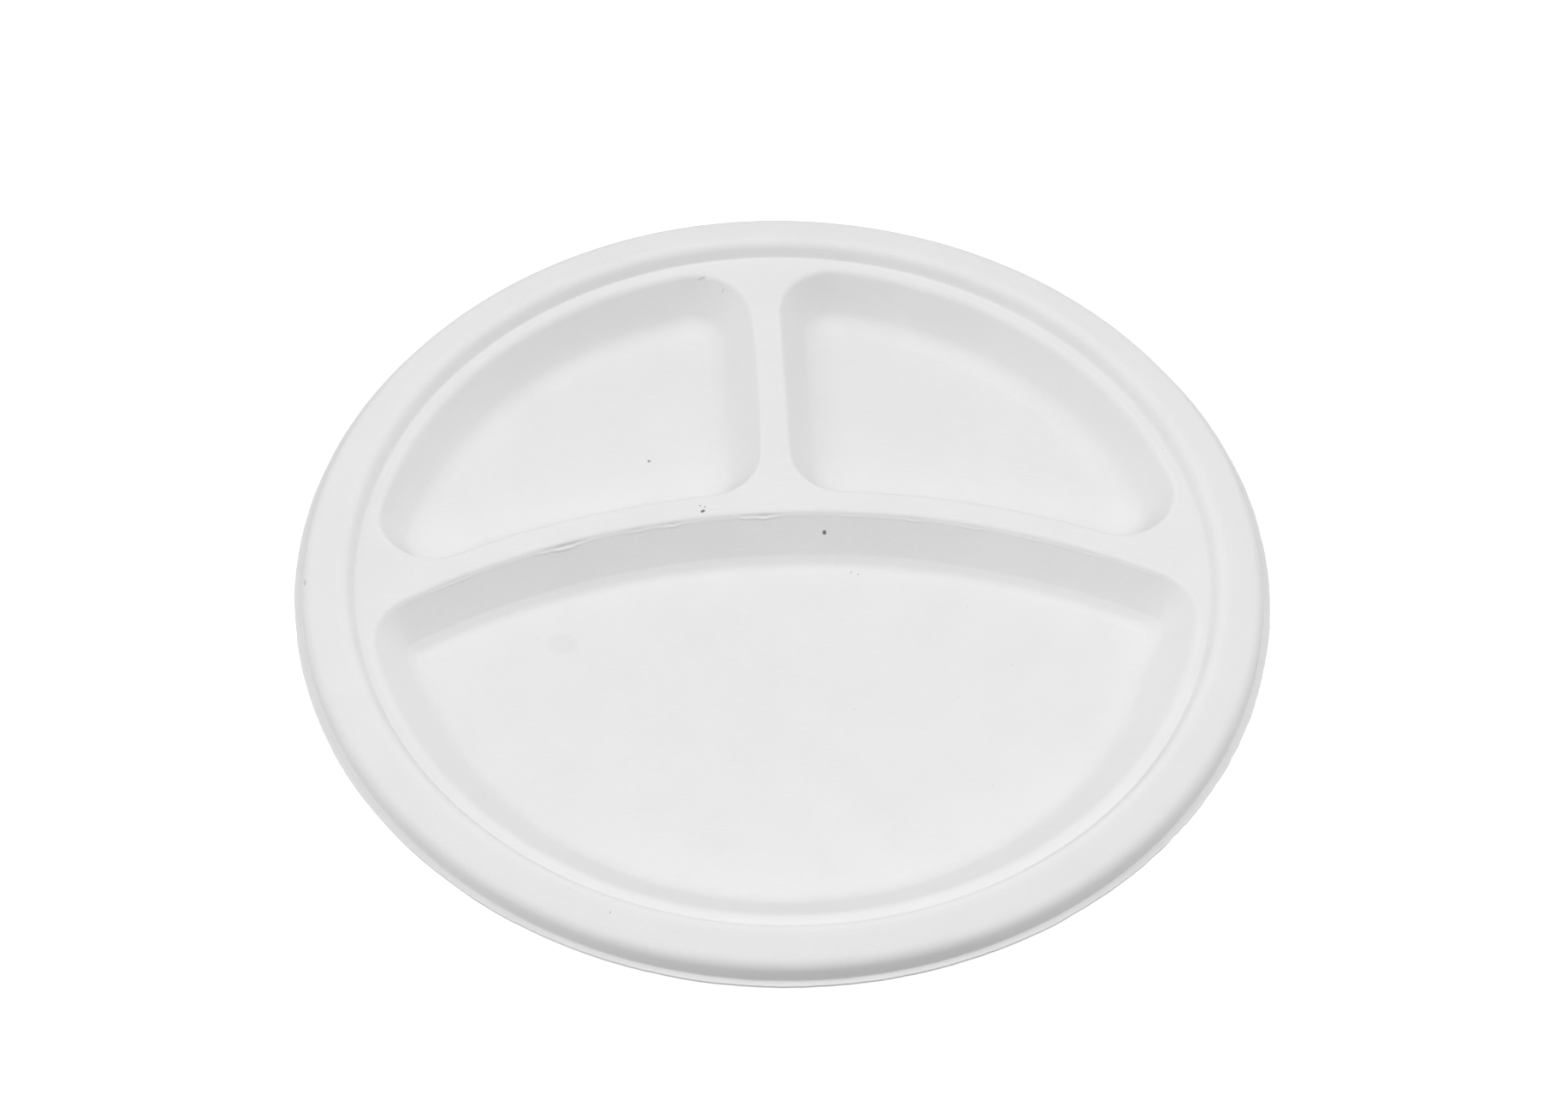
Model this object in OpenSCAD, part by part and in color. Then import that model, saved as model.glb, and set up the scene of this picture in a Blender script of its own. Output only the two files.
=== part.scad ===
// Round disposable plate of moulded plant fibre, with one large and two small compartments.
// It is one sheet of even thickness, hot-pressed between two dies: dividers and rim are hollow underneath.
// Origin: centre of the plate, on the surface it rests on. +Z up, +Y towards the two small compartments.

/* [Sheet] */
// Thickness of the pressed sheet
sheet_t = 0.7; // [0.5:0.1:0.9]

/* [Rim] */
// Outer diameter over the lip
plate_d = 260; // [256:1:264]
// Width of the flat lip outside the skirt's foot
lip_w = 1.8; // [1.2:0.1:2.2]
// Height of the lip's top above the resting surface
lip_h = 9.7; // [8:0.1:10]
// Outward lean of the skirt from top to foot
skirt_lean = 0.8; // [0.4:0.1:1.2]
// Height of the flange's top at its inner edge
flange_h = 17.8; // [17.2:0.1:18.6]
// Width of the flange, from its inner edge to the skirt
flange_w = 11; // [10:0.1:11.4]
// Fall of the flange towards the outside, in degrees
flange_fall = 14; // [10:1:15]
// Radius of the shoulder between flange and skirt
shoulder_r = 3.3; // [3:0.1:5]
// Radius of the flange's inner edge
flange_edge_r = 3.4; // [2:0.1:3.5]

/* [Ledge and dividers] */
// Height of the top of the ledge and the dividers above the resting surface
ledge_h = 13.4; // [12.4:0.1:13.8]
// Run of the step from the ledge up to the flange
step_run = 2.8; // [2:0.1:3.5]
// Gap between the floors on the two sides of the main divider
divider_gap = 23; // [21:0.5:26]
// Gap between the floors of the two small compartments
spoke_gap = 24.5; // [23:0.5:27]

/* [Compartments] */
// Radius of the floors' outer outline about the plate's centre
floor_r = 102.2; // [100:0.1:102.6]
// Distance from the plate's centre to the centre of the main divider's arc
divider_centre = 187; // [182:1:190]
// Radius of the main divider's arc along the large floor
divider_r = 201; // [198:0.5:204]
// Radius of the floors' corners
corner_r = 7; // [7:0.5:9]
// Angle of the walls from the floor, in degrees
wall_angle = 57.5; // [57:0.5:58.5]
// Radius between floor and wall
floor_fillet = 6; // [5:0.5:8]
// Radius of the walls' top edges
edge_r = 2; // [1:0.1:2]

/* [Large compartment's wall along the rim] */
// Angle of this gentler wall from the floor, in degrees
outer_angle = 47; // [47:0.5:52]
// Radius between floor and wall
outer_fillet = 6; // [4:0.5:6]
// Radius of the wall's top edge
outer_edge_r = 4.5; // [3:0.1:4.6]

/* [Hidden] */
$fn = 180;

// Straight pieces in each rounding of the sheet's section
rounding_steps = 5;
// Degrees between the points of a floor corner and of a long arc
corner_step = 15;
arc_step = 4;
// Flat strip outside each compartment's edge, and inside the foot of the step, before the web takes over
edge_flat = 0.2;
step_flat = 0.6;
// Fillets at the foot of the step and at the foot of the skirt
step_foot_r = 0.8;
skirt_foot_r = 0.5;

plate_r = plate_d / 2;
foot_r = plate_r - lip_w;
skirt_r = foot_r - skirt_lean;
flange_r = skirt_r - flange_w;
step_r = flange_r - step_run;
web_r = step_r - step_flat;
skirt_top_h = flange_h - flange_w * tan(flange_fall);

// A wall is its angle, the radius at its foot and the radius of its top edge.
// All the walls' sharp top edges would lie edge_reach out from a compartment's core.
inner_wall = [wall_angle, floor_fillet, edge_r];
outer_wall = [outer_angle, outer_fillet, outer_edge_r];
edge_reach = corner_r + (ledge_h - sheet_t) / tan(wall_angle);
wall_reach = edge_reach + outer_edge_r * tan(outer_angle / 2) + edge_flat;

// Each compartment's core is its floor drawn in by corner_r, so that the core's corners are sharp.
core_r = floor_r - corner_r;
core_near_r = divider_r - corner_r;
core_far_r = divider_r + divider_gap + corner_r;
core_spoke_x = spoke_gap / 2 + corner_r;

// Where the circle of radius r about the plate's centre meets the one of radius s about the divider's centre
function meet_y(r, s) = (s * s - r * r - divider_centre * divider_centre) / (2 * divider_centre);
function meet(r, s) = [sqrt(r * r - pow(meet_y(r, s), 2)), meet_y(r, s)];

large_corner = meet(core_r, core_near_r);
small_corner = meet(core_r, core_far_r);
small_top = [core_spoke_x, sqrt(core_r * core_r - core_spoke_x * core_spoke_x)];
small_foot = [core_spoke_x, sqrt(core_far_r * core_far_r - core_spoke_x * core_spoke_x) - divider_centre];

function from_plate(p) = atan2(p.y, p.x);
function from_divider(p) = atan2(p.y + divider_centre, p.x);
function unit(a) = [cos(a), sin(a)];
function last(list) = list[len(list) - 1];

// Stations along an outline, each a core point, the direction that faces out of the compartment and the wall.
// facing is 1 on an arc that the compartment lies inside, and -1 on one that it lies outside.
function stations(centre, r, from, to, step, wall, facing = 1) =
    let (count = ceil(abs(to - from) / step))
    [
        for (i = [0 : count])
            let (a = from + (to - from) * i / count)
            [centre + r * unit(a), facing * unit(a), wall]
    ];

// A corner's stations, along which wall_from turns gradually into wall_to
function corner(p, from, to, wall_from = inner_wall, wall_to = inner_wall) =
    let (count = ceil(abs(to - from) / corner_step))
    [
        for (i = [0 : count])
            let (a = from + (to - from) * i / count)
            [p, unit(a), wall_from + (wall_to - wall_from) * i / count]
    ];

// Leaves out the stations at an arc's two ends, because the corners there have them.
function inner(list) = [for (i = [1 : len(list) - 2]) list[i]];

function large_outline() =
    let (
        q = large_corner,
        outer = from_plate(q),
        divider = from_divider(q)
    )
    concat(
        corner(q, outer, divider, outer_wall, inner_wall),
        inner(stations([0, -divider_centre], core_near_r, divider, 180 - divider, arc_step, inner_wall)),
        corner([-q.x, q.y], 180 - divider, 180 - outer, inner_wall, outer_wall),
        inner(stations([0, 0], core_r, 180 - outer, 360 + outer, arc_step, outer_wall))
    );

function small_outline() =
    concat(
        corner(small_top, from_plate(small_top), 180),
        corner(small_foot, 180, 180 + from_divider(small_foot)),
        inner(stations(
            [0, -divider_centre],
            core_far_r,
            from_divider(small_foot),
            from_divider(small_corner),
            arc_step,
            inner_wall,
            facing = -1
        )),
        corner(small_corner, 180 + from_divider(small_corner), 360 + from_plate(small_corner)),
        inner(stations([0, 0], core_r, from_plate(small_corner), from_plate(small_top), arc_step, inner_wall))
    );

// An outline's points at a distance out from its core
function at_reach(outline, reach) = [for (s = outline) s[0] + reach * s[1]];

// A path's corner b, between a and c, rounded to radius r: points with the upward normal at each
function rounded(a, b, c, r) =
    let (
        start = atan2(b.y - a.y, b.x - a.x),
        turn = atan2(c.y - b.y, c.x - b.x) - start,
        side = sign(turn),
        first = b - r * tan(abs(turn) / 2) * unit(start),
        centre = first + side * r * unit(start + 90)
    )
    [
        for (i = [0 : rounding_steps])
            let (up = start + turn * i / rounding_steps + 90)
            [centre - side * r * unit(up), unit(up)]
    ];

// The sheet's section, from its top surface's corner points and the radius at each inner one
function sheet_section(points, radii) =
    let (
        end = last(points) - points[len(points) - 2],
        top = concat(
            [[points[0], [0, 1]]],
            [
                for (i = [1 : len(points) - 2])
                    each rounded(points[i - 1], points[i], points[i + 1], radii[i - 1])
            ],
            [[last(points), unit(atan2(end.y, end.x) + 90)]]
        ),
        count = len(top)
    )
    concat(
        [for (p = top) p[0]],
        [for (i = [count - 1 : -1 : 0]) top[i][0] - sheet_t * top[i][1]]
    );

function rim_section() = sheet_section(
    [
        [web_r, ledge_h],
        [step_r, ledge_h],
        [flange_r, flange_h],
        [skirt_r, skirt_top_h],
        [foot_r, lip_h],
        [plate_r, lip_h]
    ],
    [step_foot_r, flange_edge_r, shoulder_r, skirt_foot_r]
);

function wall_section(wall) = sheet_section(
    [
        [0, sheet_t],
        [edge_reach - (ledge_h - sheet_t) / tan(wall[0]), sheet_t],
        [edge_reach, ledge_h],
        [wall_reach, ledge_h]
    ],
    [wall[1], wall[2]]
);

// The walls all round an outline: a section's x is the distance out from the core
module walls(outline) {
    sections = [for (s = outline) wall_section(s[2])];
    stops = len(outline);
    sides = len(sections[0]);
    points = [
        for (i = [0 : stops - 1], p = sections[i])
            [each (outline[i][0] + p.x * outline[i][1]), p.y]
    ];
    faces = [
        for (i = [0 : stops - 1], j = [0 : sides - 1])
            let (
                next_i = (i + 1) % stops,
                next_j = (j + 1) % sides,
                a = i * sides + j,
                b = next_i * sides + j,
                c = next_i * sides + next_j,
                d = i * sides + next_j
            )
            each [[a, b, c], [a, c, d]]
    ];
    polyhedron(points, faces);
}

module compartment(outline) {
    walls(outline);
    linear_extrude(sheet_t) polygon(at_reach(outline, 0));
}

// The flat web: the ledge's inner part and the tops of the dividers
module web() {
    translate([0, 0, ledge_h - sheet_t])
        linear_extrude(sheet_t)
            difference() {
                circle(web_r);
                polygon(at_reach(large_outline(), wall_reach));
                both_sides() polygon(at_reach(small_outline(), wall_reach));
            }
}

module both_sides() {
    children();
    mirror([1, 0, 0]) children();
}

module rim() {
    rotate_extrude() polygon(rim_section());
}

module plate() {
    color([0.9, 0.9, 0.89])
        union() {
            rim();
            web();
            compartment(large_outline());
            both_sides() compartment(small_outline());
        }
}

plate();
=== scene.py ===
"""Looks of a round moulded-fibre plate with three compartments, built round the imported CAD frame.

The plate is one pressed sheet. Its top surface is modelled here as a fine mesh with the marks that a real
one has, and Solidify gives it the sheet's thickness. Lengths are in millimetres, apart from the studio's.
"""

import math
from typing import NamedTuple

import bmesh
import bpy
from mathutils import Matrix, Vector, kdtree, noise
from mathutils.geometry import delaunay_2d_cdt


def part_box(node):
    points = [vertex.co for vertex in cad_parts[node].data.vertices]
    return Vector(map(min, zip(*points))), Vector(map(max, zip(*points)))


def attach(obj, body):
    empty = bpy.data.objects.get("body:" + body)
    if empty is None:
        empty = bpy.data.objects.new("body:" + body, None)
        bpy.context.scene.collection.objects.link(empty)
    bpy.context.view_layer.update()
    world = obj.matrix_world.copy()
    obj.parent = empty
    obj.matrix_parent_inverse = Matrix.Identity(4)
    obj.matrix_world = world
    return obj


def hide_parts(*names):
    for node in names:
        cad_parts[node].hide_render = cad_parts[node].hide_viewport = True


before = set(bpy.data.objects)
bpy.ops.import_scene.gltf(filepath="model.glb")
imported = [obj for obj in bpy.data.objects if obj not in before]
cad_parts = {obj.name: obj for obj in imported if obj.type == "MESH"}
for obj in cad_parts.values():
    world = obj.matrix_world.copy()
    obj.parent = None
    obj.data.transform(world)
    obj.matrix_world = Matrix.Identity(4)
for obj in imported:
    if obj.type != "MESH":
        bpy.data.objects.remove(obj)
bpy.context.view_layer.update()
MM = 0.001

# ---------------------------------------------------------------- the plate's design, in millimetres

low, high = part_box("plate")
PLATE_R = (high.x - low.x) / 2 / MM
SHEET = 0.7

# The rim, from the lip in to the step. Heights are those of the top surface above the table.
LIP_W = 2.3
LIP_H = 9.7
SKIRT_LEAN = 0.4
SKIRT_FOOT_R = 0.5
SHOULDER_R = 3.3
FLANGE_W = 11
FLANGE_FALL = math.radians(14)
FLANGE_H = 17.8
FLANGE_EDGE_R = 3.4
STEP_RUN = 2.6
STEP_FOOT_R = 0.6
# Flat strip inside the step's foot, before the web takes over
STEP_FLAT = 0.55

# The ledge and the dividers are equally high. The main divider is an arc, the short one a straight spoke.
LEDGE_H = 13.4
DIVIDER_GAP = 23
DIVIDER_CENTRE = Vector((0, -187))
DIVIDER_R = 201
SPOKE_GAP = 24.5

# The compartments' floors and walls
CENTRE = Vector((0, 0))
FLOOR_R = 102.2
CORNER_R = 7
WALL_SLOPE = 57.5
# Flat strip outside a wall's sharp top edge, wide enough for the widest rounding of one
EDGE_FLAT = 2.3

FOOT_R = PLATE_R - LIP_W
SKIRT_R = FOOT_R - SKIRT_LEAN
FLANGE_R = SKIRT_R - FLANGE_W
STEP_R = FLANGE_R - STEP_RUN
WEB_R = STEP_R - STEP_FLAT
SKIRT_TOP_H = FLANGE_H - FLANGE_W * math.tan(FLANGE_FALL)
WALL_RUN = (LEDGE_H - SHEET) / math.tan(math.radians(WALL_SLOPE))
# How far out from a compartment's core its walls' top edges lie, and where the web takes over
EDGE_REACH = CORNER_R + WALL_RUN
WALL_REACH = EDGE_REACH + EDGE_FLAT

# A compartment's core is its floor drawn in by CORNER_R, so that the core's corners are sharp
CORE_R = FLOOR_R - CORNER_R
CORE_NEAR_R = DIVIDER_R - CORNER_R
CORE_FAR_R = DIVIDER_R + DIVIDER_GAP + CORNER_R

# How fine the mesh is: stations round the rim, and gaps between stations, between those along the torn edge,
# and between the points of a flat area
RIM_STATIONS = 400
STATION_GAP = 1.4
BURR_GAP = 0.55
FILL_GAP = 2.2
CORNER_STEP = math.radians(6)
FILLET_STEP = math.radians(12)
# A flat area's own points keep this far from its rings, and points closer than MERGE_GAP become one
RING_GAP = 0.7 * FILL_GAP
MERGE_GAP = 0.002
# Over how many stations to each side a wall's shape is averaged
WALL_BLEND = 9
# Pieces of a wall's section: each bend at the foot, the wall, the strip under its top edge, and the edge
FOOT_STEPS = 3
WALL_STEPS = 3
BURR_STEPS = 8
EDGE_STEPS = 6
# Width of the strip under the top edge, in which torn skin is modelled, and of the floor inside the walls
BURR_ZONE = 1.8
FLOOR_ZONE = 0.5


# ---------------------------------------------------------------- flat geometry


def unit(angle):
    """The direction at an angle from the first axis."""
    return Vector((math.cos(angle), math.sin(angle)))


def meet(r, s):
    """Where the circle of radius r about the plate's centre meets the one of radius s about the divider's."""
    away = -DIVIDER_CENTRE.y
    y = (s * s - r * r - away * away) / (2 * away)
    return Vector((math.sqrt(r * r - y * y), y))


def bearing(point, centre=CENTRE):
    """The angle of the direction from centre to point."""
    return math.atan2(point.y - centre.y, point.x - centre.x)


# ---------------------------------------------------------------- sections of the top surface


def rounding(point, start, turn, radius, count):
    """Points that round a path's corner, where its direction changes from start by turn."""
    side = math.copysign(1, turn)
    first = point - radius * math.tan(abs(turn) / 2) * unit(start)
    centre = first + side * radius * unit(start + math.pi / 2)
    return [centre - side * radius * unit(start + turn * i / count + math.pi / 2) for i in range(count + 1)]


def rounded(points, radii):
    """A path through the points, with each inner corner rounded."""
    path = [Vector(points[0])]
    for a, b, c, r in zip(points, points[1:], points[2:], radii):
        a, b, c = Vector(a), Vector(b), Vector(c)
        start = bearing(b, a)
        turn = bearing(c, b) - start
        bend = rounding(b, start, turn, r, max(2, math.ceil(abs(turn) / FILLET_STEP)))
        add_straight(path, bend[0])
        path += bend[1:]
    add_straight(path, Vector(points[-1]))
    return path


def add_straight(path, end):
    """Goes on straight to the end, with points STATION_GAP apart."""
    start = path[-1].copy()
    count = max(1, round((end - start).length / STATION_GAP))
    path.extend(start.lerp(end, i / count) for i in range(1, count + 1))


class Wall(NamedTuple):
    """A wall's section. Places across are measured out from the compartment's core."""

    foot_x: float
    bend_x: float
    bend_z: float
    edge_x: float
    foot_r: float
    bend_r: float
    edge_r: float


def plain_wall(slope, fillet, edge_r, edge_x=EDGE_REACH):
    """A wall at one slope in degrees: its two bends at the foot together make a single round fillet."""
    angle = math.radians(slope)
    foot = edge_x - (LEDGE_H - SHEET) / math.tan(angle)
    flat = fillet * (math.tan(angle / 2) - math.tan(angle / 4))
    rise = flat * unit(angle)
    return Wall(foot - flat, foot + rise.x, SHEET + rise.y, edge_x, fillet, fillet, edge_r)


def banded_wall(band_run, band_rise, foot_r, bend_r, edge_r):
    """A wall over a less steep band, which lies half on each side of where the plain wall would start."""
    middle = EDGE_REACH - WALL_RUN
    return Wall(
        middle - band_run / 2,
        middle + band_run / 2,
        SHEET + band_rise,
        EDGE_REACH,
        foot_r,
        bend_r,
        edge_r,
    )


def wall_section(wall):
    """From the floor up the wall to the web, with the same number of points for every wall."""
    foot = Vector((wall.foot_x, SHEET))
    bend = Vector((wall.bend_x, wall.bend_z))
    top = Vector((wall.edge_x, LEDGE_H))
    low_angle = bearing(bend, foot)
    angle = bearing(top, bend)
    path = [foot - Vector((wall.foot_r * math.tan(low_angle / 2) + FLOOR_ZONE, 0))]
    path += rounding(foot, 0, low_angle, wall.foot_r, FOOT_STEPS)
    path += rounding(bend, low_angle, angle - low_angle, wall.bend_r, FOOT_STEPS)
    edge = rounding(top, angle, -angle, wall.edge_r, EDGE_STEPS)
    zone = edge[0] - BURR_ZONE * unit(angle)
    path += [path[-1].lerp(zone, i / WALL_STEPS) for i in range(1, WALL_STEPS + 1)]
    path += [zone.lerp(edge[0], i / BURR_STEPS) for i in range(1, BURR_STEPS)]
    path += edge
    path.append(Vector((WALL_REACH, LEDGE_H)))
    return path


# The small compartments' walls by the dividers, their walls by the rim, and the left one's wall by the spoke
SMALL_WALL = plain_wall(WALL_SLOPE, fillet=6, edge_r=2)
SMALL_RIM_WALL = plain_wall(WALL_SLOPE, fillet=6.5, edge_r=3)
LEFT_SPOKE_WALL = plain_wall(52, fillet=6, edge_r=1.5, edge_x=EDGE_REACH + 1.2)
# The large compartment's wall by the rim and its wall by the main divider
LARGE_RIM_WALL = plain_wall(44, fillet=9, edge_r=4.5)
DIVIDER_WALL = banded_wall(band_run=2.4, band_rise=2.45, foot_r=3, bend_r=2.5, edge_r=2)


def rim_section():
    """From the web over the step and the flange to the lip's edge."""
    return rounded(
        [
            (WEB_R, LEDGE_H),
            (STEP_R, LEDGE_H),
            (FLANGE_R, FLANGE_H),
            (SKIRT_R, SKIRT_TOP_H),
            (FOOT_R, LIP_H),
            (PLATE_R, LIP_H),
        ],
        [STEP_FOOT_R, FLANGE_EDGE_R, SHOULDER_R, SKIRT_FOOT_R],
    )


# ---------------------------------------------------------------- the compartments' outlines


def arc(centre, radius, start, end, wall, facing=1, gap=STATION_GAP):
    """Stations along an arc, without its ends: core point, direction out of the compartment and wall.

    facing is 1 on an arc that the compartment lies inside, and -1 on one that it lies outside.
    """
    count = math.ceil(abs(end - start) * (radius + facing * CORNER_R) / gap)
    angles = [start + (end - start) * i / count for i in range(1, count)]
    return [(centre + radius * unit(a), facing * unit(a), wall) for a in angles]


def corner(point, start, end, wall):
    """Stations round a corner, all at the core's sharp corner point."""
    count = math.ceil(abs(end - start) / CORNER_STEP)
    return [(point, unit(start + (end - start) * i / count), wall) for i in range(count + 1)]


def straight(start, end, out, wall):
    """Stations along a straight side, without its ends."""
    count = math.ceil((end - start).length / STATION_GAP)
    return [(start.lerp(end, i / count), out, wall) for i in range(1, count)]


def large_outline():
    """The large compartment's outline, from its right corner over the divider and back round the rim."""
    q = meet(CORE_R, CORE_NEAR_R)
    outer = bearing(q)
    divider = bearing(q, DIVIDER_CENTRE)
    return (
        corner(q, outer, divider, DIVIDER_WALL)
        + arc(DIVIDER_CENTRE, CORE_NEAR_R, divider, math.pi - divider, DIVIDER_WALL, gap=BURR_GAP)
        + corner(Vector((-q.x, q.y)), math.pi - divider, math.pi - outer, DIVIDER_WALL)
        + arc(CENTRE, CORE_R, math.pi - outer, 2 * math.pi + outer, LARGE_RIM_WALL)
    )


def small_outline(spoke_wall):
    """The right small compartment's outline."""
    x = SPOKE_GAP / 2 + CORNER_R
    top = Vector((x, math.sqrt(CORE_R**2 - x * x)))
    foot = Vector((x, DIVIDER_CENTRE.y + math.sqrt(CORE_FAR_R**2 - x * x)))
    end = meet(CORE_R, CORE_FAR_R)
    divider_start = bearing(foot, DIVIDER_CENTRE)
    divider_end = bearing(end, DIVIDER_CENTRE)
    outer_start = bearing(end)
    outer_end = bearing(top)
    return (
        corner(top, outer_end, math.pi, SMALL_WALL)
        + straight(top, foot, unit(math.pi), spoke_wall)
        + corner(foot, math.pi, math.pi + divider_start, SMALL_WALL)
        + arc(DIVIDER_CENTRE, CORE_FAR_R, divider_start, divider_end, SMALL_WALL, -1)
        + corner(end, math.pi + divider_end, 2 * math.pi + outer_start, SMALL_WALL)
        + arc(CENTRE, CORE_R, outer_start, outer_end, SMALL_RIM_WALL)
    )


def mirrored(outline):
    """The left small compartment's outline."""
    flip = Vector((-1, 1))
    return [(core * flip, out * flip, wall) for core, out, wall in reversed(outline)]


def softened(outline):
    """Lets the wall change gradually along the outline."""
    count = len(outline)
    made = []
    for i, (core, out, _) in enumerate(outline):
        near = [outline[(i + k) % count][2] for k in range(-WALL_BLEND, WALL_BLEND + 1)]
        blend = Wall(*(sum(values) / len(near) for values in zip(*near)))
        made.append((core, out, blend))
    return made


# ---------------------------------------------------------------- the top surface's mesh


def add_strip(bm, rows):
    """Quads between closed rows of points."""
    made = [[bm.verts.new(point) for point in row] for row in rows]
    for here, there in zip(made, made[1:]):
        for i in range(len(here)):
            k = (i + 1) % len(here)
            bm.faces.new((here[i], here[k], there[k], there[i]))


def inside(point, ring):
    """Whether a flat point lies inside a closed ring, by the crossings of a line from it."""
    x, y = point
    odd = False
    for (ax, ay), (bx, by) in zip(ring, ring[1:] + ring[:1]):
        if (ay > y) != (by > y) and x < ax + (y - ay) * (bx - ax) / (by - ay):
            odd = not odd
    return odd


def add_fill(bm, outer, holes, height):
    """A flat area within the outer ring and outside the holes, on a square grid where there is room."""
    rings = [outer, *holes]
    points = [p for ring in rings for p in ring]
    edges = []
    for ring in rings:
        base = len(edges)
        edges += [(base + i, base + (i + 1) % len(ring)) for i in range(len(ring))]
    tree = kdtree.KDTree(len(points))
    for i, p in enumerate(points):
        tree.insert((p.x, p.y, 0), i)
    tree.balance()
    left = math.floor(min(p.x for p in outer) / FILL_GAP)
    right = math.ceil(max(p.x for p in outer) / FILL_GAP)
    bottom = math.floor(min(p.y for p in outer) / FILL_GAP)
    top = math.ceil(max(p.y for p in outer) / FILL_GAP)

    def covers(p):
        return inside(p, outer) and not any(inside(p, hole) for hole in holes)

    for i in range(left, right + 1):
        for j in range(bottom, top + 1):
            p = Vector((i, j)) * FILL_GAP
            if tree.find((p.x, p.y, 0))[2] > RING_GAP and covers(p):
                points.append(p)
    flat, _, faces, _, _, _ = delaunay_2d_cdt(points, edges, [], 0, 1e-6)
    verts = [bm.verts.new((p.x, p.y, height)) for p in flat]
    for face in faces:
        middle = sum((flat[i] for i in face), Vector((0, 0))) / len(face)
        if covers(middle):
            bm.faces.new([verts[i] for i in face])
    loose = [v for v in verts if not v.link_faces]
    bmesh.ops.delete(bm, geom=loose, context="VERTS")


def rim_circle(radius):
    """The rim's stations on a circle about the plate's centre."""
    return [radius * unit(2 * math.pi * i / RIM_STATIONS) for i in range(RIM_STATIONS)]


def top_surface():
    """The whole top surface, in millimetres, as the dies would make it without any mark."""
    bm = bmesh.new()
    outlines = [large_outline(), small_outline(SMALL_WALL), mirrored(small_outline(LEFT_SPOKE_WALL))]
    web_edges = []
    for outline in map(softened, outlines):
        sections = [wall_section(wall) for _, _, wall in outline]
        rows = []
        for points in zip(*sections):
            rows.append([(*(core + p.x * out), p.y) for (core, out, _), p in zip(outline, points)])
        add_strip(bm, rows)
        add_fill(bm, [Vector(point[:2]) for point in rows[0]], [], SHEET)
        web_edges.append([Vector(point[:2]) for point in rows[-1]])
    add_fill(bm, rim_circle(WEB_R), web_edges, LEDGE_H)
    add_strip(bm, [[(*flat, p.y) for flat in rim_circle(p.x)] for p in rim_section()])
    bmesh.ops.remove_doubles(bm, verts=bm.verts, dist=MERGE_GAP)
    bm.normal_update()
    bmesh.ops.reverse_faces(bm, faces=[f for f in bm.faces if f.normal.z < 0])
    bmesh.ops.join_triangles(
        bm,
        faces=bm.faces,
        angle_face_threshold=math.radians(10),
        angle_shape_threshold=math.radians(40),
    )
    return bm


# ---------------------------------------------------------------- marks that pressing leaves

# Torn skin along the large compartment's divider edge: place across the plate, length and greatest strength
BURRS = [
    (-88, 22, 0.35),
    (-57.5, 17, 1.0),
    (-38, 9, 0.6),
    (-29, 8, 0.85),
    (-4.5, 14, 0.85),
    (19, 5, 0.4),
    (29, 6, 0.35),
    (36, 8, 0.5),
    (51, 9, 0.5),
    (67, 9, 0.45),
    (82, 8, 0.5),
]
# Its strength between those places, and how much is left of it on average where noise makes it ragged
BURR_LEAST = 0.22
BURR_KEPT = 0.8
# How far below the divider's top it may lie, how far out from the large floor's edge, and within what radius
BURR_DOWN = (0.2, 3.2)
BURR_PAST = (-1, WALL_RUN + 1.5)
BURR_WITHIN = FLOOR_R + 3
# A tear lies over a flake of skin. Each pair of places or widths is for no strength and for full strength.
TEAR_DOWN = (0.75, 1.05)
TEAR_W = (0.16, 0.3)
TEAR_DEPTH = 0.3
FLAKE_DOWN = (1.05, 1.8)
FLAKE_W = 0.24
FLAKE_OUT = 0.32

# Waves are given by their height, their size and where in the noise they start. Here are those of the burr's
# strength, of the flake's place and of the whole surface.
BURR_WAVES = [
    (0.5, 2.6, (0, 3.1, 0)),
    (0.35, 0.9, (0, 9, 0)),
]
FLAKE_WAVES = [(0.12, 2.5, (0, 0, 8))]
SURFACE_WAVES = [
    (0.025, 14, (0, 0, 0)),
    (0.02, 5, (40, 0, 0)),
    (0.012, 2.1, (0, 70, 0)),
]
# The floors are lifted unevenly, and the rim sinks by RIM_DROP and sways
FLOOR_LIFT = 0.12
FLOOR_WAVES = [(FLOOR_LIFT, 90, (0, 0, 5))]
RIM_DROP = 0.15
RIM_WAVES = [(0.25, 60, (0, 0, 11))]

# The trimmed lip's edge lies in by TRIM, and by up to TRIM_NEAR more on the near side. It is wavy and ragged
# and curls up and down. Rags and curl are strongest about one bearing, in radians, and least far from it.
TRIM = 0.25
TRIM_NEAR = 0.3
TRIM_WAVES = [(0.15, 16, (0, 0, 0))]
TRIM_RAGS = [(0.35, 3.2, (0, 0, 0))]
TRIM_CURL = [(0.12, 5, (0, 0, 30))]
TRIM_ZONE = LIP_W + 0.2
ROUGH_BEARING = -0.6
ROUGH_WIDTH = 0.35
ROUGH_LEAST = 0.3
# Softening of the cut edge's two corners
TRIMMED_EDGE_R = 0.2

# Where the colour is paler: on the edges just below the ledge's top, where the surface isn't flat, and less
# strongly on the flange's inner edge. A flake's ridge is painted much paler, as a painted highlight.
TOP_EDGE_DOWN = 0.15
TOP_EDGE_W = 0.25
FLAT_NORMAL_Z = 0.995
FLANGE_EDGE_W = 1.2
FLANGE_EDGE_PALE = 0.6
FLAKE_HIGHLIGHT = 2.5


def waves(point, given):
    """Height at a point of the waves given."""
    return sum(height * noise.noise(Vector(point) / size + Vector(start)) for height, size, start in given)


def bump(value, centre, width):
    """1 at the centre, falling smoothly to almost 0 two widths away."""
    return math.exp(-(((value - centre) / width) ** 2))


def between(pair, share):
    """A value that goes from the pair's first to its second as share goes from 0 to 1."""
    return pair[0] + (pair[1] - pair[0]) * share


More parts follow.
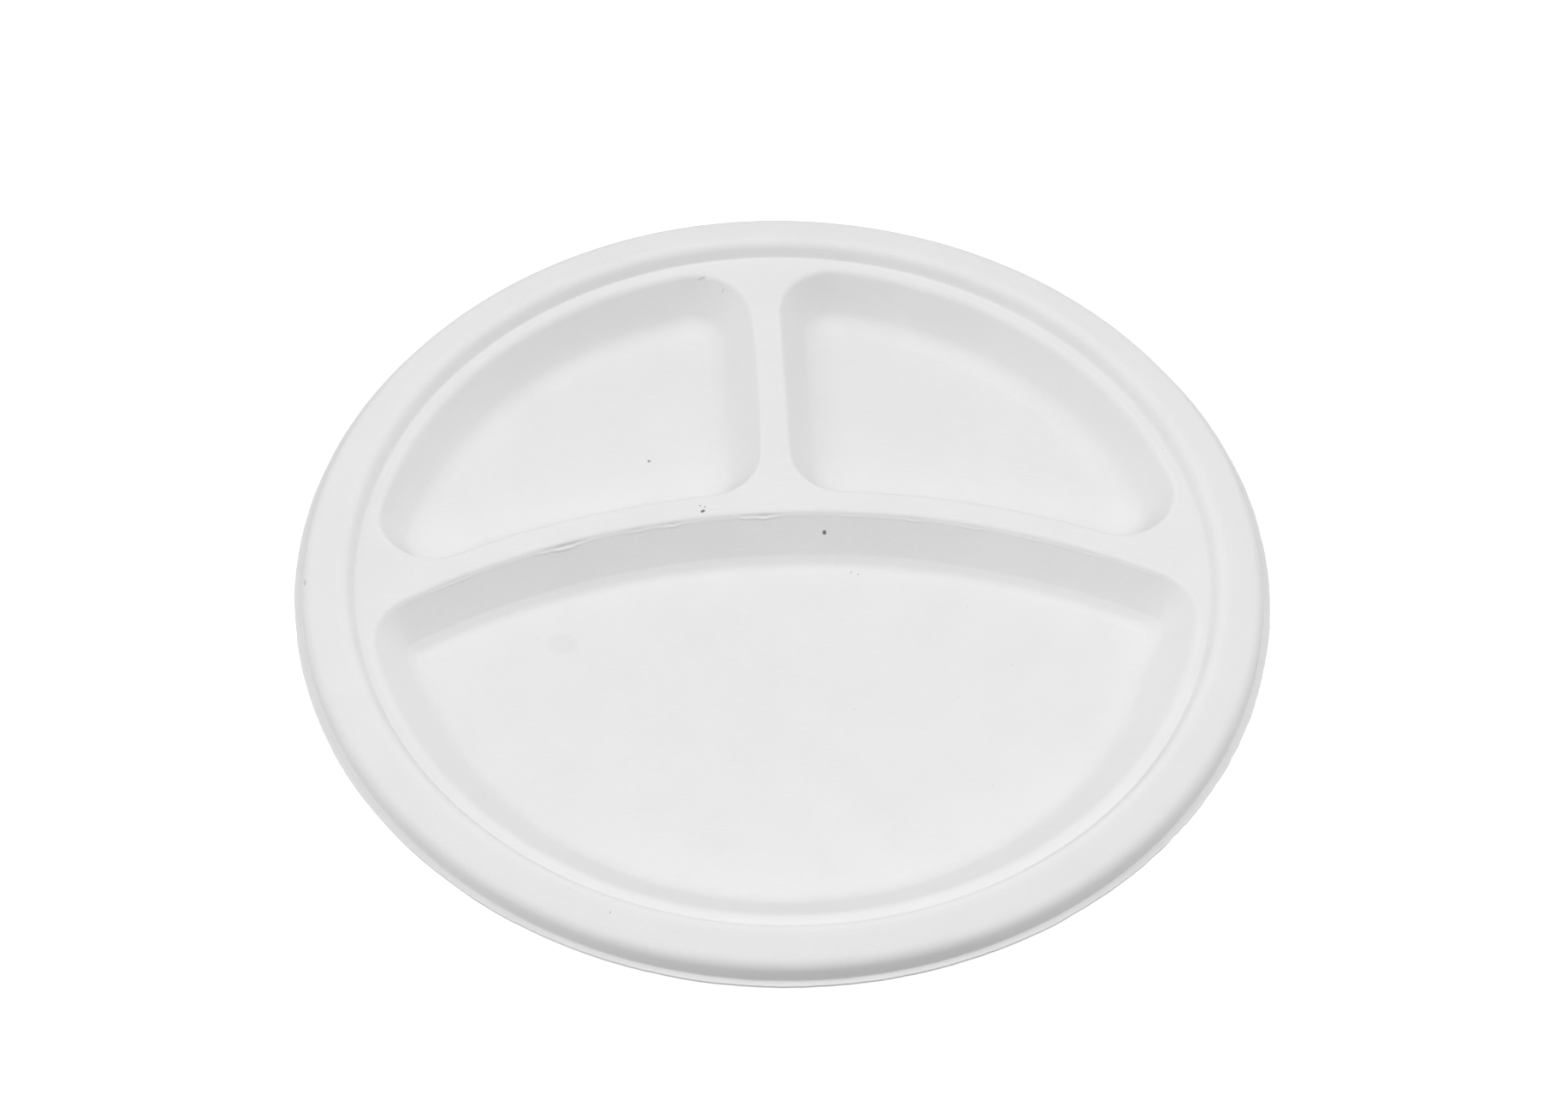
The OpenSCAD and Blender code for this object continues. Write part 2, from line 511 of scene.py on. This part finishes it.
def burr(x, down):
    """Torn skin at x across the plate and down from the divider's top.

    Gives how far it stands out of the wall, and how much of the tear and of the flake there is, for the
    painted shade in the tear and the painted highlight on the flake.
    """
    strength = BURR_LEAST
    for place, length, most in BURRS:
        along = abs(x - place) / (length / 2)
        if along < 1:
            strength = max(strength, most * (1 - along**2))
    strength *= max(0.0, BURR_KEPT + waves((x, 0, 0), BURR_WAVES))
    tear = bump(down, between(TEAR_DOWN, strength), between(TEAR_W, strength))
    flake = bump(down, between(FLAKE_DOWN, strength) + waves((x, 0, 0), FLAKE_WAVES), FLAKE_W)
    out = strength * (FLAKE_OUT * flake - TEAR_DEPTH * tear)
    return out, strength * tear, strength * flake


def may_be_torn(x, y, z):
    """Whether a point lies near the top edge of the large compartment's divider wall."""
    past = (Vector((x, y)) - DIVIDER_CENTRE).length - DIVIDER_R
    across = BURR_PAST[0] < past < BURR_PAST[1] and math.hypot(x, y) < BURR_WITHIN
    return across and BURR_DOWN[0] < LEDGE_H - z < BURR_DOWN[1]


def trimmed(x, y):
    """How the ragged lip is moved inwards and up at a point."""
    radius = math.hypot(x, y)
    angle = math.atan2(y, x)
    around = Vector((math.cos(angle), math.sin(angle), 0)) * PLATE_R
    rough = between((ROUGH_LEAST, 1), bump(angle, ROUGH_BEARING, ROUGH_WIDTH))
    share = (radius - FOOT_R) / LIP_W
    out = TRIM_NEAR * min(0.0, y / PLATE_R) - TRIM
    out += waves(around, TRIM_WAVES) + rough * waves(around, TRIM_RAGS)
    up = rough * waves(around, TRIM_CURL)
    return Vector((x, y, 0)) / radius * min(0.0, out) * share, up * share


def lifted(x, y):
    """How far up the whole sheet is moved at a point, because the plate isn't quite flat."""
    rim = max(0.0, min(1.0, (math.hypot(x, y) - FLOOR_R) / (PLATE_R - FLOOR_R)))
    floor_lift = FLOOR_LIFT + waves((x, y, 0), FLOOR_WAVES)
    rim_lift = waves((x, y, 0), RIM_WAVES) - RIM_DROP
    return between((floor_lift, rim_lift), rim)


def edge_paleness(radius, z, normal):
    """How much paler a point is coloured: on the ledge's and dividers' edges and the flange's."""
    on_top_edge = radius < STEP_R - 1 and normal.z < FLAT_NORMAL_Z
    top_edge = max(0.0, 1 - abs(LEDGE_H - TOP_EDGE_DOWN - z) / TOP_EDGE_W) if on_top_edge else 0.0
    flange_edge = bump(radius, FLANGE_R, FLANGE_EDGE_W) if z > LEDGE_H + 2 else 0.0
    return max(top_edge, FLANGE_EDGE_PALE * flange_edge)


def add_marks(bm):
    """Moves the surface a little, as uneven pulp and the dies do. It stays within the CAD box.

    The materials find in one layer the paler edges and the painted highlight on flakes, and in the other the
    painted shade in tears.
    """
    bm.normal_update()
    pale_and_highlight = bm.verts.layers.float.new("pale_and_highlight")
    tear_shade = bm.verts.layers.float.new("tear_shade")
    for v in bm.verts:
        x, y, z = v.co
        radius = math.hypot(x, y)
        normal = v.normal.copy()
        move = waves(v.co, SURFACE_WAVES)
        v[pale_and_highlight] = edge_paleness(radius, z, normal)
        if may_be_torn(x, y, z):
            # The tear's amount darkens the colour there as painted shade.
            out, v[tear_shade], flake = burr(x, LEDGE_H - z)
            # The flake's ridge is paled as a painted highlight.
            v[pale_and_highlight] = max(v[pale_and_highlight], FLAKE_HIGHLIGHT * flake)
            move += out
        if radius > PLATE_R - TRIM_ZONE:
            inwards, up = trimmed(x, y)
            v.co += inwards
            move += up
        v.co += normal * move
        v.co.z += lifted(x, y)


def make_plate():
    """The plate: its marked top surface, thickened downwards to a sheet with a softened edge."""
    bm = top_surface()
    add_marks(bm)
    bmesh.ops.scale(bm, vec=Vector((MM, MM, MM)), verts=bm.verts)
    mesh = bpy.data.meshes.new("pulp_plate")
    bm.to_mesh(mesh)
    bm.free()
    mesh.shade_smooth()
    plate = bpy.data.objects.new("pulp_plate", mesh)
    bpy.context.scene.collection.objects.link(plate)
    mesh.materials.append(pulp_material("pulp_top", food_side=True))
    mesh.materials.append(pulp_material("pulp_underside", food_side=False))
    thick = plate.modifiers.new("sheet", "SOLIDIFY")
    thick.thickness = SHEET * MM
    thick.offset = -1
    thick.use_even_offset = True
    thick.material_offset = 1
    thick.material_offset_rim = 0
    edge = plate.modifiers.new("trimmed_edge", "BEVEL")
    edge.width = TRIMMED_EDGE_R * MM
    edge.segments = 2
    edge.limit_method = "ANGLE"
    edge.angle_limit = math.radians(55)
    return plate


# ---------------------------------------------------------------- materials

# Bleached pulp where it is darkest and palest, on pale edges and painted highlights, in a shadowed mark, and
# a speck of bark
PULP_DARK = (0.738, 0.740, 0.740)
PULP_PALE = (0.756, 0.757, 0.756)
PULP_PALE_AND_HIGHLIGHT = (0.815, 0.815, 0.813)
PULP_SHADE = (0.42, 0.42, 0.415)
BARK = (0.16, 0.14, 0.12)

# Sizes in millimetres: the pulp's clouds, lumps and grain, its fibres, and the gap between tiny flecks
CLOUD_SIZE = 18
LUMP_SIZE = 3.5
GRAIN_SIZE = 0.45
FIBRE_LENGTH = 3.2
FIBRE_WIDTH = 0.22
FIBRE_TURNS = (12, 75, 131)
FLECK_GAP = 7
SCREEN_PITCH = 0.8
# How much whiter fibres, pale edges and painted highlights are, and how much darker flecks, the pin's mark
# and the painted shade in tears
FIBRE_PALE = 0.35
EDGE_AND_HIGHLIGHT_PALE = 0.2
FLECK_DARK = 0.35
PIN_DARK = 0.09
TEAR_SHADE_DARK = 0.3
# Relief: the grain's depth, and how many times that deep the fibres, the lumps and the screen's weave are
RELIEF = 0.02
FIBRE_RELIEF = 0.5
LUMP_RELIEF = 1.5
SCREEN_RELIEF = 3.0
# Roughness where the grain is lowest and highest, and how much smoother the pale edges and highlighted flakes
# are
ROUGHNESS = (0.72, 0.9)
PALE_AND_HIGHLIGHT_SMOOTH = 0.12

# Bark specks, and small creases shown only as painted shade: place, half-lengths, turn in degrees and
# darkness
SPECKS_AND_CREASE_SHADE = [
    ((-33.7, 51.6, 0.7), (0.5, 0.42), 0, 0.85),
    ((-20.3, 22.8, 13.6), (0.75, 0.5), 35, 0.95),
    ((-20.9, 24.7, 13.6), (0.28, 0.26), 0, 0.7),
    ((-19.7, 24.3, 13.6), (0.26, 0.28), 0, 0.7),
    ((12.2, 18.3, 8.2), (0.62, 0.55), 0, 0.97),
    ((19.0, 10.2, 1.0), (0.3, 0.28), 0, 0.6),
    ((20.9, 9.5, 1.0), (0.26, 0.3), 0, 0.5),
    ((-16.7, 107.5, 12.6), (1.5, 0.3), 8, 0.22),
    ((-10.9, 104.0, 11.0), (0.9, 0.3), 38, 0.2),
    ((-126.7, 2.2, 14.8), (0.3, 1.4), 0, 0.4),
    ((-49.7, -109.6, 17.0), (0.3, 0.3), 0, 0.45),
]
# The faint round mark of a die's ejector pin on the large floor
PIN_AT = (-59.2, -10.9, 0.7)
PIN_R = 4.15


def node(tree, kind, inputs=(), **settings):
    """Adds a shader node. An input given as a socket is linked, and any other is set."""
    made = tree.nodes.new("ShaderNode" + kind)
    for key, value in settings.items():
        setattr(made, key, value)
    for key, value in dict(inputs).items():
        if isinstance(value, bpy.types.NodeSocket):
            tree.links.new(value, made.inputs[key])
        else:
            made.inputs[key].default_value = value
    return made


def math_node(tree, operation, a, b=0.0, c=0.0):
    """The result of an operation on up to three values or sockets."""
    return node(tree, "Math", {0: a, 1: b, 2: c}, operation=operation).outputs[0]


def noise_node(tree, coords, size, detail, roughness=0.5):
    """Noise whose features are about size across, in millimetres."""
    inputs = {"Vector": coords, "Scale": 1 / (size * MM), "Detail": detail, "Roughness": roughness}
    return node(tree, "TexNoise", inputs).outputs["Fac"]


def band(tree, value, start, end, low_value=0.0, high_value=1.0):
    """Runs smoothly from low_value to high_value as value goes from start to end."""
    inputs = {0: value, 1: start, 2: end, 3: low_value, 4: high_value}
    return node(tree, "MapRange", inputs, interpolation_type="SMOOTHSTEP").outputs[0]


def fibres(tree, coords):
    """Short fibres lying in several directions, from noise stretched along each."""
    total = None
    for turn in FIBRE_TURNS:
        place = {
            "Vector": coords,
            "Rotation": (0.0, 0.0, math.radians(turn)),
            "Scale": (FIBRE_WIDTH / FIBRE_LENGTH, 1.0, 1.0),
        }
        stretched = node(tree, "Mapping", place).outputs[0]
        line = band(tree, noise_node(tree, stretched, FIBRE_WIDTH, detail=1.0), 0.60, 0.74)
        total = line if total is None else math_node(tree, "MAXIMUM", total, line)
    return total


def mix_colour(tree, factor, colour, other):
    """colour where factor is 0, other where it is 1."""
    made = tree.nodes.new("ShaderNodeMix")
    made.data_type = "RGBA"
    tree.links.new(factor, made.inputs[0])
    tree.links.new(colour, made.inputs[6])
    made.inputs[7].default_value = (*other, 1)
    return made.outputs[2]


def screen(tree, coords):
    """The weave of the forming screen, as crossed waves."""
    across = node(tree, "SeparateXYZ", {0: coords})
    crossed = []
    for k in range(2):
        turns = math_node(tree, "MULTIPLY", across.outputs[k], 2 * math.pi / (SCREEN_PITCH * MM))
        crossed.append(math_node(tree, "SINE", turns))
    return math_node(tree, "MULTIPLY", *crossed)


def pin_mark(tree, coords):
    """1 on the ejector pin's round mark, and 0 outside it."""
    inputs = {0: coords, 1: [c * MM for c in PIN_AT]}
    away = node(tree, "VectorMath", inputs, operation="DISTANCE").outputs["Value"]
    return band(tree, away, (PIN_R - 1.2) * MM, (PIN_R + 0.3) * MM, 1.0, 0.0)


def marked_and_shaded(tree, coords, pin, colour):
    """The colour with the food side's marks over it, and painted shade in creases and tears."""
    # Specks darken towards bark; the long faint creases among them are painted shade.
    for place, halves, turn, darkness in SPECKS_AND_CREASE_SHADE:
        inputs = {
            "Vector": coords,
            "Location": [c * MM for c in place],
            "Rotation": (0.0, 0.0, math.radians(turn)),
            "Scale": (halves[0] * MM, halves[1] * MM, MM),
        }
        within = node(tree, "Mapping", inputs, vector_type="TEXTURE").outputs[0]
        away = node(tree, "VectorMath", {0: within}, operation="LENGTH").outputs["Value"]
        spot = band(tree, away, 0.55, 1.15, darkness, 0.0)
        colour = mix_colour(tree, spot, colour, BARK)
    colour = mix_colour(tree, math_node(tree, "MULTIPLY", pin, PIN_DARK), colour, PULP_SHADE)
    # Painted shade in the tears along the divider's edge
    tear_shade = node(tree, "Attribute", attribute_name="tear_shade").outputs["Fac"]
    return mix_colour(tree, math_node(tree, "MULTIPLY", tear_shade, TEAR_SHADE_DARK), colour, PULP_SHADE)


def pulp_material(name, food_side):
    """Bleached pulp. The food side has the dies' marks, and the underside the forming screen's weave."""
    material = bpy.data.materials.new(name)
    material.use_nodes = True
    tree = material.node_tree
    tree.nodes.clear()
    coords = node(tree, "TexCoord").outputs["Object"]
    pale_and_highlight = node(tree, "Attribute", attribute_name="pale_and_highlight").outputs["Fac"]
    clouds = noise_node(tree, coords, CLOUD_SIZE, detail=4.0)
    grain = noise_node(tree, coords, GRAIN_SIZE, detail=4.0, roughness=0.65)
    lumps = noise_node(tree, coords, LUMP_SIZE, detail=3.0)
    strands = fibres(tree, coords)

    # Colour: a little uneven, whiter along the fibres, paler on edges, and with painted highlights on flakes'
    # ridges
    ramp = node(tree, "ValToRGB", {"Fac": clouds})
    ramp.color_ramp.elements[0].position = 0.3
    ramp.color_ramp.elements[0].color = (*PULP_DARK, 1)
    ramp.color_ramp.elements[1].position = 0.7
    ramp.color_ramp.elements[1].color = (*PULP_PALE, 1)
    pale = math_node(tree, "MULTIPLY", strands, FIBRE_PALE)
    pale = math_node(tree, "MULTIPLY_ADD", pale_and_highlight, EDGE_AND_HIGHLIGHT_PALE, pale)
    colour = mix_colour(tree, pale, ramp.outputs["Color"], PULP_PALE_AND_HIGHLIGHT)
    if food_side:
        pin = pin_mark(tree, coords)
        colour = marked_and_shaded(tree, coords, pin, colour)
    fleck_inputs = {"Vector": coords, "Scale": 1 / (FLECK_GAP * MM)}
    fleck_away = node(tree, "TexVoronoi", fleck_inputs).outputs["Distance"]
    colour = mix_colour(tree, band(tree, fleck_away, 0.012, 0.03, FLECK_DARK, 0.0), colour, BARK)

    # Relief: fibres, grain and lumps, with the pin's dent or the screen's weave
    height = math_node(tree, "MULTIPLY_ADD", strands, FIBRE_RELIEF, grain)
    height = math_node(tree, "MULTIPLY_ADD", lumps, LUMP_RELIEF, height)
    if food_side:
        height = math_node(tree, "SUBTRACT", height, pin)
    else:
        height = math_node(tree, "MULTIPLY_ADD", screen(tree, coords), SCREEN_RELIEF, height)
    relief = node(tree, "Bump", {"Height": height, "Distance": RELIEF * MM, "Strength": 1.0}).outputs[0]

    roughness = band(tree, grain, 0.3, 0.7, *ROUGHNESS)
    roughness = math_node(tree, "MULTIPLY_ADD", pale_and_highlight, -PALE_AND_HIGHLIGHT_SMOOTH, roughness)
    surface = {
        "Base Color": colour,
        "Roughness": roughness,
        "Specular IOR Level": 0.3,
        "IOR": 1.45,
        "Normal": relief,
    }
    shader = node(tree, "BsdfPrincipled", surface)
    node(tree, "OutputMaterial", {"Surface": shader.outputs[0]})
    return material


# ---------------------------------------------------------------- floor, light and camera, in metres

FLOOR_HALF = 6.0
FLOOR_Z = -0.0001
FLOOR_GREY = 0.35
# The floor's own light: what it gives the object, and what the picture shows, which is bleached white
FLOOR_GLOW = 0.41
FLOOR_SHOWN = 0.9

# Softboxes above the plate: name, place and power in watts
LAMPS = [
    ("left_lamp", (-0.8, 0, 1.2), 6.7),
    ("right_lamp", (0.8, 0, 1.2), 6.85),
    ("front_lamp", (0, -0.8, 1.2), 3.4),
    ("top_lamp", (0, 0, 1.2), 2.92),
]
LAMP_SIZE = 1.0

# Reflectors at the plate's sides: azimuth and brightness of each, and for all their elevation and tightness
SIDE_LIGHTS = [(270, 1.92), (90, 1.07), (45, 0.79), (0, 0.26)]
SIDE_ELEVATION = 12
SIDE_TIGHTNESS = 6

# The camera: lens and sensor in millimetres, then its place as seen from the floors' centre, in degrees
CAMERA_LENS = 122.7
CAMERA_SENSOR = 36
CAMERA_DISTANCE = 1.43
CAMERA_AZIMUTH = 184.08
CAMERA_ELEVATION = 51.51
CAMERA_ROLL = 1.2
CAMERA_AIM = Vector((1.4, 17.8, SHEET)) * MM


def towards(azimuth, elevation):
    """The direction at an azimuth clockwise from +Y and an elevation, in degrees."""
    a, e = math.radians(azimuth), math.radians(elevation)
    return Vector((math.sin(a) * math.cos(e), math.cos(a) * math.cos(e), math.sin(e)))


def make_floor():
    """White paper that runs out of the picture on all sides."""
    bm = bmesh.new()
    corners = [(-1, -1), (1, -1), (1, 1), (-1, 1)]
    bm.faces.new([bm.verts.new((x * FLOOR_HALF, y * FLOOR_HALF, FLOOR_Z)) for x, y in corners])
    mesh = bpy.data.meshes.new("studio_floor")
    bm.to_mesh(mesh)
    bm.free()
    floor = bpy.data.objects.new("studio_floor", mesh)
    bpy.context.scene.collection.objects.link(floor)
    material = bpy.data.materials.new("studio_paper")
    material.use_nodes = True
    tree = material.node_tree
    shader = tree.nodes["Principled BSDF"]
    shader.inputs["Base Color"].default_value = (FLOOR_GREY, FLOOR_GREY, FLOOR_GREY, 1)
    shader.inputs["Roughness"].default_value = 1.0
    shader.inputs["Specular IOR Level"].default_value = 0.0
    shader.inputs["Emission Color"].default_value = (1, 1, 1, 1)
    seen = node(tree, "LightPath").outputs["Is Camera Ray"]
    glow = math_node(tree, "MULTIPLY_ADD", seen, FLOOR_SHOWN - FLOOR_GLOW, FLOOR_GLOW)
    tree.links.new(glow, shader.inputs["Emission Strength"])
    mesh.materials.append(material)


def make_lamp(name, place, power):
    """A round softbox, turned towards the plate's centre."""
    data = bpy.data.lights.new(name, "AREA")
    data.shape = "DISK"
    data.size = LAMP_SIZE
    data.energy = power
    light = bpy.data.objects.new(name, data)
    light.visible_camera = False
    light.location = place
    light.rotation_euler = (-light.location).to_track_quat("-Z", "Y").to_euler()
    bpy.context.scene.collection.objects.link(light)


def make_world():
    """Soft reflected light from the sides, with a white background behind the object."""
    world = bpy.data.worlds.new("studio")
    bpy.context.scene.world = world
    world.use_nodes = True
    tree = world.node_tree
    tree.nodes.clear()
    direction = node(tree, "TexCoord").outputs["Generated"]
    strength = 0.0
    for azimuth, brightness in SIDE_LIGHTS:
        inputs = {0: direction, 1: towards(azimuth, SIDE_ELEVATION)}
        facing = node(tree, "VectorMath", inputs, operation="DOT_PRODUCT").outputs["Value"]
        lobe = math_node(tree, "POWER", math_node(tree, "MAXIMUM", facing, 0.0), SIDE_TIGHTNESS)
        strength = math_node(tree, "MULTIPLY_ADD", lobe, brightness, strength)
    seen = node(tree, "LightPath").outputs["Is Camera Ray"]
    around = node(tree, "Background", {"Color": (1, 1, 1, 1), "Strength": strength})
    behind = node(tree, "Background", {"Color": (1, 1, 1, 1), "Strength": 1.0})
    shown = node(tree, "MixShader", {0: seen, 1: around.outputs[0], 2: behind.outputs[0]})
    node(tree, "OutputWorld", {"Surface": shown.outputs[0]})


def make_camera():
    """A long lens in front of the plate and above it, rolled a little."""
    data = bpy.data.cameras.new("camera")
    data.lens = CAMERA_LENS
    data.sensor_width = CAMERA_SENSOR
    camera = bpy.data.objects.new("camera", data)
    bpy.context.scene.collection.objects.link(camera)
    centre = Vector((0, 0, SHEET * MM))
    camera.location = centre + CAMERA_DISTANCE * towards(CAMERA_AZIMUTH, CAMERA_ELEVATION)
    turn = (CAMERA_AIM - camera.location).to_track_quat("-Z", "Y").to_matrix().to_4x4()
    roll = Matrix.Rotation(math.radians(CAMERA_ROLL), 4, "Z")
    camera.matrix_world = Matrix.Translation(camera.location) @ turn @ roll
    bpy.context.scene.camera = camera


# ---------------------------------------------------------------- the scene

plate = make_plate()
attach(plate, "root")
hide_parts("plate")

make_floor()
for lamp in LAMPS:
    make_lamp(*lamp)
make_world()
make_camera()
bpy.context.scene.view_settings.view_transform = "Standard"
